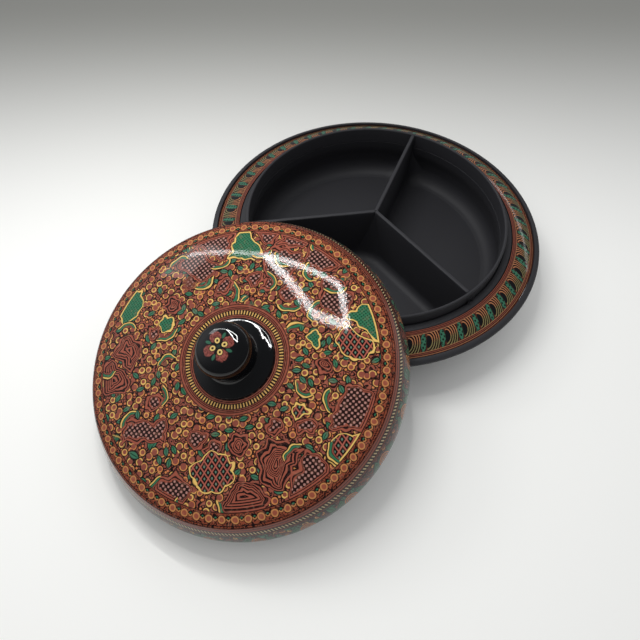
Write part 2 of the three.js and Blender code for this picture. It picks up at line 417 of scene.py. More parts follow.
def ringlets(paint, size, ring, stroke, solid=False, fade=1.0):
    """Small curls of orange and yellow with a black edge, some of them open."""
    away, (dx, dy, _), (first, second, third) = paint.cells(size, 0.7, solid)
    right, ahead = first - 0.5, second - 0.5
    middle = third * (ring * 0.4) + ring * 0.75
    paint.layer(away.under(middle + (stroke / 2 + 0.6), 0.4) * fade, DARK)
    paint.layer(away.under(middle, 0.4) * fade, "red")
    side = (dx * right + dy * ahead) / (away * hypot(right, ahead)).most(0.05)
    gap = side.over(0.3, 0.2) * third.over(0.45, 0.05)
    width = (side * 0.25 + 0.8).least(1.0) * stroke
    curl = (abs(away - middle) - width / 2).under(0.0, 0.4) * gap.invert()
    paint.layer(curl * fade, paint.blend(second, "orange", "yellow"))


def beads(paint, size, radius):
    """Small round dots of orange in a black ring, strewn between the curls."""
    away, _, (first, _, third) = paint.cells(size, 0.9)
    chosen = third.under(0.6, 0.02)
    paint.layer(away.under(radius + 0.7, 0.4) * chosen, DARK)
    paint.layer(away.under(radius, 0.4) * chosen, paint.blend(first, "orange", "c46f4a"))


def heading(first, second):
    """The direction that two random numbers stand for."""
    right, ahead = first - 0.5, second - 0.5
    size = hypot(right, ahead).most(0.05)
    return right / size, ahead / size


def small_leaves(paint, size, long, wide, share, solid=False):
    """Little green leaves with a black edge, turned every way."""
    _, (dx, dy, _), (first, second, third) = paint.cells(size, 0.9, solid)
    right, ahead = heading(first, second)
    along, across = dx * right + dy * ahead, dy * right - dx * ahead
    shape = 1.0 - (along / long) ** 2.0 - abs(across) / wide
    chosen = third.under(share, 0.02)
    paint.layer(shape.over(-0.5, 0.3) * chosen, DARK)
    paint.layer(shape.over(0.05, 0.3) * chosen, paint.blend(second, "green", "43705a"))
    paint.layer(abs(across).under(0.25, 0.2) * shape.over(0.3, 0.2) * chosen, "123826")


def bows(paint, size, reach, share, where, limit):
    """Nested bows of green, yellow and red between black lines, turned every way."""
    _, (dx, dy, _), (first, second, third) = paint.cells(size, 0.8, where=where)
    right, ahead = heading(first, second)
    arc = hypot(dx + right * (reach * 0.8), dy + ahead * (reach * 0.8))
    front = (dx * right + dy * ahead).over(-reach * 0.3, 0.5)
    chosen = third.under(share, 0.02) * front * limit.over(0.0, 0.4)
    paint.layer(arc.line(reach, 5.4, 0.4) * chosen, DARK)
    for shift, width, shade in ((-1.8, 0.9, "red"), (-0.3, 1.4, "green"), (1.3, 0.9, "yellow")):
        paint.layer(arc.line(reach + shift, width, 0.35) * chosen, shade)


def net(paint, pitch):
    """Crossed lines, and a dot in the middle of each square between them."""
    x, y = paint.x * 0.8 + paint.y * 0.6, paint.y * 0.8 - paint.x * 0.6
    first = ((x * 0.7 + y) / pitch).fraction() - 0.5
    second = ((x * 0.7 - y) / pitch).fraction() - 0.5
    return abs(first).most(abs(second)).over(0.40, 0.08), hypot(first, second).under(0.16, 0.08)


def patches(paint, size, reach, spots, limit, nearest, furthest):
    """Lobed patches inside black outlines, one to a cell, where the cell's middle is within two distances of the
    knob. Each holds pale dots on black, a green hatch, crossed lines, or lines that follow its outline."""
    where, x, y = spots
    away, (dx, dy, _), (first, _, kind) = paint.cells(size, 0.75, where=where)
    middle = hypot(x - dx, y - dy)
    ring = middle.over(nearest, 0.1) * middle.under(furthest, 0.1) * kind.under(0.9, 0.001)
    lobes, _, _ = paint.cells(size * 0.36, 0.6, where=where)
    depth = (reach - away + first * (reach * 0.4)).least(paint.edge(size, 0.75, where) - 0.8)
    depth = (depth - lobes * 0.5 + size * 0.06).least(limit)
    to_dotted, to_green, to_crossed = 0.5, 0.62, 0.72
    dotted, lined = kind.under(to_dotted, 0.001), kind.over(to_crossed, 0.001)
    green = kind.over(to_dotted, 0.001) * kind.under(to_green, 0.001)
    crossed = kind.over(to_green, 0.001) * kind.under(to_crossed, 0.001)
    paint.layer(depth.over(-0.6, 0.4) * ring, DARK)
    outline = paint.blend((green + crossed).least(1.0), "95503f", "yellow")
    paint.layer(depth.over(0.1, 0.35) * ring, outline)
    paint.layer(depth.line(1.5, 0.6, 0.3) * ring, DARK)
    inner = depth.over(1.4, 0.3) * ring
    ragged = (depth + paint.noise(3.0, 2) * 3.0).over(4.0, 0.5) * ring * dotted
    paint.layer(ragged, "241412")
    paint.layer(paint.dots * ragged, "a87a70")
    paint.layer(inner * green, "green")
    paint.layer(inner * green * paint.hatch * 0.8, "10271d")
    lines, middles = net(paint, 5.4)
    for mask, shade in ((crossed, "17100f"), (crossed * lines, "a4584a"), (crossed * middles, "5d7a68")):
        paint.layer(inner * mask, shade)
    paint.layer((depth * 3.6).sin().over(0.1, 0.5) * inner * lined, DARK)


def crown_lacquer():
    """The lid's crown: rings round the knob, a field of curls, leaves, bows and lobed patches, and a border."""
    paint = Paint("crown_lacquer", LID_PLACE, "red")
    field_start, field_end, border_row = 43.5, 103.6, 108.0
    spots = paint.warped(11, 3.2)
    drift = paint.noise(34, 3)
    paint.layer(drift.over(0.52, 0.3) * 0.6, "a05a45")
    squiggles(paint, 4.6, 0.34)
    beads(paint, 3.9, 0.85)
    ringlets(paint, 6.6, 2.2, 1.05)
    small_leaves(paint, 9.0, 3.2, 1.6, 0.5)
    limit = (paint.radius - field_start).least(field_end - paint.radius)
    patches(paint, 17.0, 5.6, spots, limit, 56.0, 72.0)
    patches(paint, 29.0, 14.0, spots, limit, 74.0, 108.0)
    bows(paint, 23.0, 7.5, 0.34, spots[0], limit)
    border(paint, border_row, 3.7)
    knob_rings(paint)
    wear = paint.noise(3, 4)
    paint.layer(wear.over(0.64, 0.2) * 0.2, "c08a70")
    paint.waves((1.8, 0.03), (8, 0.04))
    return paint.finish(wear * 0.05 + 0.02, 0.22)


def border(paint, row, half):
    """A row of closed curls, with small bows and leaves between them, and lines inside and outside of it."""
    tan = "b87d4c"
    count = round(math.tau * row / 9.0)
    pitch = math.tau * row / count
    sway = (paint.noise(5.0, 1) - 0.5) * 2.4
    along = paint.row(count, sway * (0.6 / pitch)) * pitch
    outwards = paint.radius - row
    paint.layer(outwards.over(-half - 0.4, 0.4), "84432f")
    inside = abs(outwards).under(half, 0.4)
    squiggles(paint, 3.2, 0.3, outwards.over(-half, 0.4))
    reach = hypot(along, outwards + sway * 0.3)
    paint.layer(reach.under(3.0, 0.4) * inside, DARK)
    paint.layer(reach.under(2.4, 0.4) * inside, "8f4d3a")
    paint.layer(reach.line(2.1, 0.9, 0.4) * inside, tan)
    bow = hypot(abs(along) - pitch / 2, outwards + 0.8)
    paint.layer(bow.under(2.0, 0.4) * inside, DARK)
    paint.layer(bow.line(1.4, 0.7, 0.35) * outwards.over(-0.6, 0.4) * inside, tan)
    paint.layer(bow.under(0.9, 0.3) * outwards.under(-0.8, 0.4) * inside, "2c6a4c")
    paint.lines(outwards, [-half - 0.5], 0.6, 0.35)
    paint.lines(outwards, (half + 0.3, half + 1.9), 0.5, 0.35)


def knob_rings(paint):
    """The plain rings round the knob: thin black lines on red, and a row of yellow dashes on black."""
    radius, dash_ring, dash_count = paint.radius, 34.7, 100
    paint.layer(radius.under(41.4, 0.35), "8a4a3a")
    paint.layer(radius.under(30.6, 0.35), DARK)
    paint.lines(radius, (31.6, 37.6, 38.8, 40.8), 0.6, 0.3)
    paint.layer(radius.line(dash_ring, 4.2, 0.3), DARK)
    marks = abs(paint.row(dash_count)).under(0.2, 0.14)
    paint.layer(marks * radius.line(dash_ring, 3.0, 0.5), "cfa560")


def side_lacquer():
    """The lid's side: a deep red and green scatter of curls and leaves, and a row of pale slanted dashes on top."""
    paint = Paint("side_lacquer", LID_PLACE, "703829")
    squiggles(paint, 5.0, 0.42)
    ringlets(paint, 7.0, 1.9, 1.1, solid=True, fade=0.8)
    small_leaves(paint, 8.5, 3.4, 2.1, 0.8, solid=True)
    count, side_radius, middle_height = 22, 121, 15.5
    along = paint.row(count) * (math.tau * side_radius / count)
    rise = paint.z - middle_height
    for middle, lean, tall, wide in ((-8.5, 0.25, 8.5, 3.4), (9.0, -0.3, 7.5, 3.0)):
        across = along - middle - rise * lean
        shape = 1.0 - (rise / tall) ** 2.0 - abs(across) / wide
        paint.layer(shape.over(-0.35, 0.2), DARK)
        paint.layer(shape.over(0.0, 0.2), "2c6e4c")
        paint.layer(((rise * 2.4 + abs(across) * 2.0).sin()).over(0.1, 0.5) * shape.over(0.15, 0.2), "15261d")
    reach = hypot(along, rise * 0.8)
    paint.layer(reach.under(5.8, 0.5), DARK)
    paint.lines(reach, (1.6, 3.3, 5.0), 0.8, 0.4, "orange")
    paint.lines(paint.z, (4.4, 5.8, 25.4, 26.6), 0.6, 0.35)
    paint.layer(paint.z.line(5.1, 0.7, 0.35), "orange")
    paint.layer(paint.z.over(26.9, 0.35), "7a4031")
    paint.lines(paint.z, (27.6, 31.4, 33.4), 0.5, 0.35)
    # Painted reflection: a grey haze over the lower side, standing for the pale floor mirrored in the lacquer.
    paint.layer(paint.z.under(26.0, 3.0) * 0.35, "56514e")
    dashes(paint, 29.4, 2.7)
    paint.waves((1.6, 0.035), (8, 0.1))
    return paint.finish(paint.noise(3, 3) * 0.08 + 0.1, 0.3)


def dashes(paint, height, width):
    """A black stripe round the side with a row of pale slanted dashes."""
    count, shoulder_radius = 300, 116.8
    pitch = math.tau * shoulder_radius / count
    paint.layer(paint.z.line(height, width + 0.5, 0.3), DARK)
    slanted = paint.row(count, (paint.z - height) * (0.5 / pitch))
    paint.layer(abs(slanted).under(0.21, 0.16) * paint.z.line(height, width - 0.3, 0.4), "b09c78")


def brim_lacquer(inner, outer):
    """The brim's band: green tufts, black crescents and nested arcs in turn, between plain edges with fine lines."""
    paint = Paint("brim_lacquer", DISH_PLACE, "7a4233")
    row = (inner + outer) / 2
    count = 52
    pitch = math.tau * row / count
    outwards = paint.radius - row
    along = paint.row(count, outwards * 0.3 / pitch) * pitch
    zone = abs(outwards).under(6.6, 0.4)
    paint.layer(zone, "54291f")
    reach = hypot(along + 2.6, outwards * 0.85)
    front = (along + 2.4).over(0.0, 0.5)
    arcs = ((reach - 0.2) * (math.tau / 1.9)).sin()
    region = front * reach.over(3.0, 0.4) * zone
    paint.layer(arcs.under(-0.1, 0.5) * region, DARK)
    tan_or_green = paint.blend(outwards.over(0.0, 3.0), "a46f4a", "77764c")
    paint.layer(arcs.over(0.45, 0.5) * region, tan_or_green)
    paint.layer(reach.under(3.4, 0.4) * (along + 3.0).over(0.0, 0.5) * zone, "0e1012")
    tuft = ((along + 5.6) / 2.4) ** 2.0 + (outwards / 7.2) ** 2.0 + (paint.noise(1.6, 2) - 0.5) * 1.6
    paint.layer(tuft.under(1.15, 0.2) * zone, "181512")
    paint.layer(tuft.under(0.8, 0.2) * zone, "366650")
    paint.layer(paint.dots * tuft.under(0.7, 0.2) * zone, "12201a")
    paint.lines(outwards, (-9.4, -8.2, -7.2, 7.2, 8.4, 9.6), 0.5, 0.3)
    paint.lines(outwards, (-6.7, 6.7, 9.0), 0.5, 0.3, "99694a")
    paint.waves((1.4, 0.035), (7, 0.08))
    return paint.finish(paint.noise(3, 3) * 0.06 + 0.05, 0.3)


def knob_lacquer():
    """Black lacquer with a flower on the knob's dome: four petals, four ringed spots and four small leaves."""
    paint = Paint("knob_lacquer", LID_PLACE, "black")
    on_top = paint.z.over(69.0, 0.2)
    petals, spots = math.radians(55.5), math.radians(49.5)

    def fold(bearing):
        """Distance along and across the nearest of four directions, the first of them at a bearing."""
        quarter = (((paint.angle - bearing) / (math.pi / 2) + 0.5).fraction() - 0.5) * (math.pi / 2)
        return paint.radius * quarter.cos(), paint.radius * quarter.sin()

    along, across = fold(petals)
    petal = (hypot(along - 7.0, across) + (paint.noise(2.5, 1) - 0.5) * 1.8).under(4.0, 0.5)
    notch = hypot(along - 11.8, across).under(1.2, 0.5)
    shade = paint.blend(paint.noise(1.0, 3).over(0.5, 0.25), "8e4d44", "56231f")
    paint.layer(petal * notch.invert() * on_top, shade)
    leaf_along, leaf_across = fold(petals - math.pi / 4)
    leaf = hypot((leaf_along - 8.0) * 0.5, leaf_across).under(1.05, 0.4)
    paint.layer(leaf * on_top, "2b5a45")
    along, across = fold(spots)
    spot = hypot((along - 4.2) * 0.9, across)
    paint.layer(spot.under(2.3, 0.4) * on_top, "0f0d0d")
    paint.layer(spot.line(1.3, 1.0, 0.35) * on_top, "d2b46c")
    paint.layer(paint.radius.under(1.4, 0.5) * on_top, "1c2a22")
    paint.waves((9, 0.1), (2.2, 0.015))
    return paint.finish(gloss(paint.noise(20, 2), 0.04))


# Turned pieces


def refined(points, closed, rounding, corner):
    """A fine copy of an outline: round between its points, with a small round on each corner that turns by more
    than an angle in degrees."""
    gap, fewest, most, longest_cut = 1.4, 3, 14, 0.45
    count = len(points)
    previous = np.roll(points, 1, axis=0)
    following = np.roll(points, -1, axis=0)
    into, out = points - previous, following - points
    turn = np.degrees(np.abs(np.arctan2(
        into[:, 0] * out[:, 1] - into[:, 1] * out[:, 0], (into * out).sum(1)
    )))
    sharp = turn > corner
    ends = set() if closed else {0, count - 1}

    def cut(index, size):
        """The share of a segment that the round on one of its corners takes."""
        return min(rounding / size, longest_cut) if sharp[index] and index not in ends else 0

    fine = []
    for index in range(count if closed else count - 1):
        after = (index + 1) % count
        start, end = points[index], points[after]
        chord = end - start
        size = np.hypot(*chord)
        tangents = []
        for spot in (index, after):
            if sharp[spot] or spot in ends:
                tangents.append(chord)
            else:
                whole = following[spot] - previous[spot]
                tangents.append(whole / np.hypot(*whole) * size)
        first, last = cut(index, size), 1 - cut(after, size)
        steps = int(np.clip(size / gap, fewest, most))
        share = (1 - np.cos(np.linspace(0, np.pi, steps + 1))) / 2
        t = (first + (last - first) * share)[:, None]
        run = (
            (2 * t**3 - 3 * t**2 + 1) * start
            + (t**3 - 2 * t**2 + t) * tangents[0]
            + (-2 * t**3 + 3 * t**2) * end
            + (t**3 - t**2) * tangents[1]
        )
        if first:
            back = previous[index] - start
            before = start + back * cut(index, np.hypot(*back))
            for s in (0.2, 0.4, 0.6, 0.8):
                fine.append((1 - s) ** 2 * before + 2 * s * (1 - s) * start + s**2 * run[0])
        fine.extend(run if last < 1 else run[:-1])
    if not closed:
        fine.append(points[-1])
    return np.array(fine)


def knob_shape(points):
    """The knob's outline with a shallow straight plinth, and a flatter dome that turns down quickly at its rim."""
    radii, heights = points.T
    base, top = heights.min(), heights.max()
    plinth_top, head_foot = base + 8, base + 15
    head = radii[heights > head_foot].max()
    edge = radii[heights > base + 0.5].max()
    neck = radii[(heights > plinth_top) & (heights < head_foot)].max()
    rim = heights[(radii > head - 0.01) & (heights > head_foot)].min()
    power, edge_height, slope, sag, neck_round, neck_rise = 2.9, 1.25, 0.2, 0.012, 2.4, 1.2
    shaped = []
    for radius, height in points:
        if height > rim:
            height = rim + (top - rim) * max(1 - (radius / head) ** power, 0) ** (1 / power)
        elif neck + 0.05 < radius < edge - 0.6 and base + 1 < height < plinth_top:
            inwards = edge - radius
            near_neck = max(neck + neck_round - radius, 0) / neck_round
            height = base + edge_height + inwards * slope + inwards**2 * sag + near_neck**2 * neck_rise
        shaped.append((radius, height))
    return np.array(shaped)


def wire(name, points):
    """A mesh of joined corners and no faces, from [radius, height] points in millimetres."""
    mesh = bpy.data.meshes.new(name)
    places = [(radius * MM, 0, height * MM) for radius, height in points]
    mesh.from_pydata(places, [(index, index + 1) for index in range(len(places) - 1)], [])
    spot = bpy.data.objects.new(name, mesh)
    bpy.context.scene.collection.objects.link(spot)
    return spot


def new_tree(name, inputs):
    """An empty geometry tree with named inputs, and its input and output nodes."""
    tree = bpy.data.node_groups.new(name, "GeometryNodeTree")
    for label, kind, default in inputs:
        socket = tree.interface.new_socket(name=label, in_out="INPUT", socket_type=kind)
        if default is not None:
            socket.default_value = default
    tree.interface.new_socket(name="Geometry", in_out="OUTPUT", socket_type="NodeSocketGeometry")
    return tree, tree.nodes.new("NodeGroupInput"), tree.nodes.new("NodeGroupOutput")


def turned_tree():
    """Geometry nodes that turn an outline round Z: a grid whose columns are the outline at each step."""
    name = "Turned piece"
    if name in bpy.data.node_groups:
        return bpy.data.node_groups[name]
    tree, given, result = new_tree(name, (
        ("Outline", "NodeSocketObject", None),
        ("Steps", "NodeSocketInt", 256),
        ("Join distance", "NodeSocketFloat", 1e-6),
        ("Material", "NodeSocketMaterial", None),
    ))
    outline = add(tree, "GeometryNodeObjectInfo", {"Object": given.outputs["Outline"]}).outputs["Geometry"]
    size = add(tree, "GeometryNodeAttributeDomainSize", {"Geometry": outline}, component="MESH")
    points = Field(tree, size.outputs["Point Count"])
    steps = Field(tree, given.outputs["Steps"])
    grid = add(tree, "GeometryNodeMeshGrid", {
        "Size X": points - 1, "Size Y": steps, "Vertices X": points, "Vertices Y": steps + 1,
    })
    position = tree.nodes.new("GeometryNodeInputPosition").outputs[0]
    place = add(tree, "ShaderNodeSeparateXYZ", {"Vector": position})
    index = (Field(tree, place.outputs["X"]) + (points - 1) / 2).math("ROUND")
    angle = (Field(tree, place.outputs["Y"]) / steps + 0.5) * math.tau
    sample = add(tree, "GeometryNodeSampleIndex", {
        "Geometry": outline, "Index": index,
    }, data_type="FLOAT_VECTOR")
    join(tree, position, next(s for s in sample.inputs if s.name == "Value" and s.enabled))
    spot = add(tree, "ShaderNodeSeparateXYZ", {"Vector": next(s for s in sample.outputs if s.enabled)})
    radius = Field(tree, spot.outputs["X"])
    moved = add(tree, "ShaderNodeCombineXYZ", {
        "X": radius * angle.cos(), "Y": radius * angle.sin(), "Z": spot.outputs["Z"],
    })
    shaped = add(tree, "GeometryNodeSetPosition", {
        "Geometry": grid.outputs["Mesh"], "Position": moved.outputs[0],
    })
    merged = add(tree, "GeometryNodeMergeByDistance", {
        "Geometry": shaped.outputs[0], "Distance": given.outputs["Join distance"],
    })
    smooth = add(tree, "GeometryNodeSetShadeSmooth", {"Geometry": merged.outputs[0]})
    real = add(tree, "GeometryNodeRealizeInstances", {"Geometry": smooth.outputs[0]})
    painted = add(tree, "GeometryNodeSetMaterial", {
        "Geometry": real.outputs[0], "Material": given.outputs["Material"],
    })
    tree.links.new(painted.outputs[0], result.inputs[0])
    return tree


def grown(name, tree, **inputs):
    """The plain mesh that a geometry tree makes from its named inputs."""
    holder = bpy.data.objects.new(name, bpy.data.meshes.new(name))
    bpy.context.scene.collection.objects.link(holder)
    modifier = holder.modifiers.new(tree.name, "NODES")
    modifier.node_group = tree
    for item in tree.interface.items_tree:
        if item.item_type == "SOCKET" and item.in_out == "INPUT" and item.name in inputs:
            modifier[item.identifier] = inputs[item.name]
    graph = bpy.context.evaluated_depsgraph_get()
    mesh = bpy.data.meshes.new_from_object(holder.evaluated_get(graph))
    bpy.data.objects.remove(holder)
    if mesh.materials[0] is None:
        mesh.materials.pop(index=0)
    return mesh


def outward(mesh):
    """Merges doubles and points every face out of a closed mesh."""
    work = bmesh.new()
    work.from_mesh(mesh)
    bmesh.ops.remove_doubles(work, verts=work.verts, dist=1e-7)
    bmesh.ops.recalc_face_normals(work, faces=work.faces)
    work.to_mesh(mesh)
    work.free()


def settle(name, mesh, body, nodes):
    """Makes the finished piece: its place in its mesh, riding on its body, standing for its CAD nodes."""
    piece = bpy.data.objects.new(name, mesh)
    bpy.context.scene.collection.objects.link(piece)
    mesh.polygons.foreach_set("use_smooth", [True] * len(mesh.polygons))
    mesh.update()
    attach(piece, body)
    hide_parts(*nodes)
    return piece


def turned_piece(
    node, body, finish, second=None, picks=None, rounding=None, steps=None, corner=50.0, shape=None
):
    """A fine turned piece on the outline of a CAD node. Faces whose normal the picks function takes, as its
    outward and upward parts, keep the first finish, and the others get the second."""
    settings = bpy.context.scene.turning_settings
    place = PLACES[body]
    points, closed = meridian(node, place)
    fine = refined(points, closed, settings.edge / MM if rounding is None else rounding, corner)
    if shape:
        fine = shape(fine)
    if closed:
        fine = np.vstack([fine, fine[:1]])
    outline = wire(f"{node}_outline", fine)
    mesh = grown(node, turned_tree(), Outline=outline, Steps=steps or settings.steps, Material=finish)
    bpy.data.objects.remove(outline)
    outward(mesh)
    if second:
        mesh.materials.append(second)
        for face in mesh.polygons:
            radial = Vector((face.center.x, face.center.y, 0))
            radial = radial.normalized() if radial.length > 0 else radial
            face.material_index = 0 if picks(face.normal.dot(radial), face.normal.z) else 1
    mesh.transform(place)
    return settle(f"{node}_finish", mesh, body, [node])


# The well


def smooth_least(first, second, reach):
    """The lesser of two numbers, blended smoothly where they are within reach of each other."""
    blend = np.maximum(reach - np.abs(first - second), 0) / reach
    return np.minimum(first, second) - blend**2 * reach / 4


def well_shape():
    """Radii and heights of the well, from the CAD outline of its wall, in millimetres."""
    points, _ = meridian("well_wall", DISH_PLACE)
    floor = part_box("well_floor")[1].z / MM
    inner = np.array([p for p in points if is_inside_wall(p, points)])
    widest = inner[inner[:, 0].argmax()]
    foot = inner[np.abs(inner[:, 1] - floor) < 0.05][0]
    return {"floor": floor, "foot": foot[0], "widest": widest[0], "belly": widest[1], "inner": inner}


def is_inside_wall(point, points):
    """Whether a point is on the wall's inner face: at its height, the outline comes no nearer to the axis."""
    for a, b in zip(points, np.roll(points, -1, axis=0)):
        low, high = sorted((a[1], b[1]))
        if low - 1e-6 <= point[1] <= high + 1e-6 and high - low > 1e-6:
            at = a[0] + (b[0] - a[0]) * (point[1] - a[1]) / (b[1] - a[1])
            if at < point[0] - 0.05:
                return False
    return True


def compartment(start, end, half, well):
    """Corners and faces of one compartment's floor, with its rounds, between two divider directions."""
    settings = bpy.context.scene.well_settings
    foot = settings.divider_foot / MM
    reach = settings.corner
    rim_steps, rows, crowding = 90, 46, 2.4
    middle_share, sharpness = 0.52, 4
    below_top, let_in, let_up, thickness = 1.0, 0.35, 1.2, 1.4
    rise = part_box("divider_far")[1].z / MM - well["floor"]
    side_a = np.array((-start[1], start[0]))
    side_b = np.array((end[1], -end[0]))
    wide = well["widest"]

    def rim(count):
        """Outline of the compartment: out along one divider, round the wall and back along the other."""
        apex = half / math.sin(math.acos(np.clip(start @ end, -1, 1)) / 2)
        middle = (start + end) / np.hypot(*(start + end)) * apex
        share = (1 - np.cos(np.linspace(0, np.pi, count))) / 2
        run = math.sqrt(wide**2 - half**2)
        first = start * run + side_a * half
        last = end * run + side_b * half
        angle_a, angle_b = (math.atan2(p[1], p[0]) for p in (first, last))
        sweep = (angle_b - angle_a) % math.tau
        arc = angle_a + sweep * share
        return np.vstack([
            middle + (first - middle) * share[:-1, None],
            np.stack([np.cos(arc), np.sin(arc)], 1)[:-1] * wide,
            last + (middle - last) * share[:-1, None],
        ])

    edge = rim(rim_steps)
    centre = (start + end) / np.hypot(*(start + end)) * wide * middle_share
    count = len(edge)
    share = 1 - (1 - np.linspace(0, 1, rows + 1)[1:]) ** crowding
    share = np.append(share, 1.0)
    flat = centre + (edge - centre)[None] * share[:, None, None]
    a = np.maximum(flat @ side_a - half, 0) / foot
    b = np.maximum(flat @ side_b - half, 0) / foot
    wall = np.maximum(wide - np.hypot(flat[..., 0], flat[..., 1]), 0) / (wide - well["foot"])
    depth = smooth_least(smooth_least(a, b, reach), wall, reach)
    weights = np.exp(-sharpness * np.stack([a, b, wall]))
    belly = well["belly"] - well["floor"]
    tall = ((weights[0] + weights[1]) * foot + weights[2] * belly) / weights.sum(0)
    inside = np.clip(depth, 0, 1)
    height = well["floor"] + tall * (1 - np.sqrt(1 - (1 - inside) ** 2))
    climb = (rise - tall - below_top) / (reach / 4)
    height += np.maximum(-depth, 0) * climb
    away = (edge - centre) / np.hypot(*(edge - centre).T)[:, None]
    flat[-1] += away * let_in
    height[-1] += let_up
    top = np.dstack([flat, height])
    hub = np.array([[*centre, well["floor"]]])
    upper = np.vstack([hub, top.reshape(-1, 3)])
    lower = upper - (0, 0, thickness)
    faces = []
    shift = len(upper)
    for step in range(count):
        onward = (step + 1) % count
        faces.append((0, 1 + step, 1 + onward))
        faces.append((shift, shift + 1 + onward, shift + 1 + step))
        for row in range(len(share) - 1):
            near, far = 1 + row * count, 1 + (row + 1) * count
            faces.append((near + step, far + step, far + onward, near + onward))
            faces.append((shift + near + step, shift + near + onward, shift + far + onward, shift + far + step))
        last = 1 + (len(share) - 1) * count
        faces.append((last + step, shift + last + step, shift + last + onward, last + onward))
    return np.vstack([upper, lower]), faces


def divider_board(node, well):
    """Corners and faces of one divider: a thin board with a round top, mitred at the middle and let into the wall."""
    along, half = divider_line(node)
    across = np.array((-along[1], along[0]))
    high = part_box(node)[1].z / MM
    edge = bpy.context.scene.well_settings.divider_edge / MM
    above_floor, side_steps, round_steps, steps = 0.3, 14, 7, 70
    into_wall, waver, waver_rate, waver_own = 0.5, 0.16, 0.11, 5
    mitre = math.tan(math.pi / len(DIVIDERS))
    bottom = well["floor"] + above_floor
    side = [(half, bottom + (high - edge - bottom) * share) for share in np.linspace(0, 1, side_steps)]
    turns = np.radians(np.linspace(0, 90, round_steps)[1:])
    round_edge = [(half - edge + edge * math.cos(t), high - edge + edge * math.sin(t)) for t in turns]
    right = side + round_edge
    outline = right + [(0.0, high)] + [(-v, z) for v, z in reversed(right)]
    order = well["inner"][np.argsort(well["inner"][:, 1])]
    rings = []
    for column in range(steps + 1):
        ring = []
        for v, z in outline:
            wall = np.interp(z, order[:, 1], order[:, 0])
            start = abs(v) / mitre
            end = math.sqrt(wall**2 - v**2) + into_wall
            run = start + (end - start) * column / steps
            lift = 0.0
            if z > high - edge * 1.01 and 1 < column < steps:
                lift = waver * noise.noise(Vector((run * waver_rate, high, half * along[0] * waver_own)))
            spot = along * run + across * v
            ring.append((*spot, z + lift))
        rings.append(ring)
    size = len(outline)
    faces = [
        (c * size + i, (c + 1) * size + i, (c + 1) * size + (i + 1) % size, c * size + (i + 1) % size)
        for c in range(steps)
        for i in range(size)
    ]
    faces += [tuple(range(size)), tuple(steps * size + i for i in reversed(range(size)))]
    return np.array(rings).reshape(-1, 3), faces


def mesh_from(name, points, faces, finish):
    """A closed mesh from corners in millimetres and faces that may point either way."""
    mesh = bpy.data.meshes.new(name)
    mesh.from_pydata((np.array(points) * MM).tolist(), [], faces)
    mesh.materials.append(finish)
    outward(mesh)
    return mesh


# Operators, one for each piece or group of like pieces


class DISH_OT_base_board(bpy.types.Operator):
    """Make the board under the well"""

    bl_idname = "covered_dish.base_board"
    bl_label = "Base board"

    def execute(self, context):
        turned_piece("base_board", "dish", core_lacquer())
        return {"FINISHED"}


class DISH_OT_bowl_wall(bpy.types.Operator):
    """Make the bowl's outer side"""

    bl_idname = "covered_dish.bowl_wall"
    bl_label = "Bowl wall"

    def execute(self, context):
        turned_piece("outer_bowl_wall", "dish", black_lacquer())
        return {"FINISHED"}


class DISH_OT_brim(bpy.types.Operator):
    """Make the patterned brim"""

    bl_idname = "covered_dish.brim"
    bl_label = "Brim"

    def execute(self, context):
        points, _ = meridian("brim", DISH_PLACE)
        finish = brim_lacquer(points[:, 0].min(), points[:, 0].max())
        turned_piece(
            "brim", "dish", finish,
            second=black_lacquer(), picks=lambda outwards, up: up > 0.3, rounding=0.3,
        )
        return {"FINISHED"}


class DISH_OT_rims(bpy.types.Operator):
    """Make the round lip, the ledge that the closed lid stands on, and the collar that it goes over"""

    bl_idname = "covered_dish.rims"
    bl_label = "Lip, ledge and collar"

    def execute(self, context):
        turned_piece("brim_lip", "dish", black_lacquer(), corner=80.0)
        turned_piece("seat_ledge", "dish", black_lacquer(), rounding=1.6)
        turned_piece("collar", "dish", black_lacquer())
        return {"FINISHED"}


class DISH_OT_well(bpy.types.Operator):
    """Make the well's wall, and its floor with a round along every wall and divider"""

    bl_idname = "covered_dish.well"
    bl_label = "Well"

    def execute(self, context):
        turned_piece("well_wall", "dish", black_lacquer())
        well = well_shape()
        lines = sorted((divider_line(node) for node in DIVIDERS), key=lambda found: math.atan2(*found[0][::-1]))
        points, faces = [], []
        for index, (start, half) in enumerate(lines):
            end = lines[(index + 1) % len(lines)][0]
            more, those = compartment(start, end, half, well)
            shift = sum(len(part) for part in points)
            faces += [tuple(corner + shift for corner in face) for face in those]
            points.append(more)
        mesh = mesh_from("well_floor_finish", np.vstack(points), faces, black_lacquer())
        settle("well_floor_finish", mesh, "dish", ["well_floor"])
        return {"FINISHED"}


class DISH_OT_dividers(bpy.types.Operator):
    """Make the three thin dividers"""

    bl_idname = "covered_dish.dividers"
    bl_label = "Dividers"

    def execute(self, context):
        well = well_shape()
        for node in DIVIDERS:
            points, faces = divider_board(node, well)
            mesh = mesh_from(f"{node}_finish", points, faces, black_lacquer())
            settle(f"{node}_finish", mesh, "dish", [node])
        return {"FINISHED"}


class DISH_OT_mouth_ring(bpy.types.Operator):
    """Make the band inside the lid's mouth"""

    bl_idname = "covered_dish.mouth_ring"
    bl_label = "Mouth ring"

    def execute(self, context):
        turned_piece("lid_mouth_ring", "lid", black_lacquer(LID_PLACE, "lid_black_lacquer"))
        return {"FINISHED"}


class DISH_OT_lid_side(bpy.types.Operator):
    """Make the lid's patterned side"""

    bl_idname = "covered_dish.lid_side"
    bl_label = "Lid side"

    def execute(self, context):
        inside = black_lacquer(LID_PLACE, "lid_black_lacquer")
        turned_piece(
            "lid_side", "lid", side_lacquer(),
            second=inside, picks=lambda outwards, up: outwards > 0.2, rounding=0.3,
        )
        return {"FINISHED"}


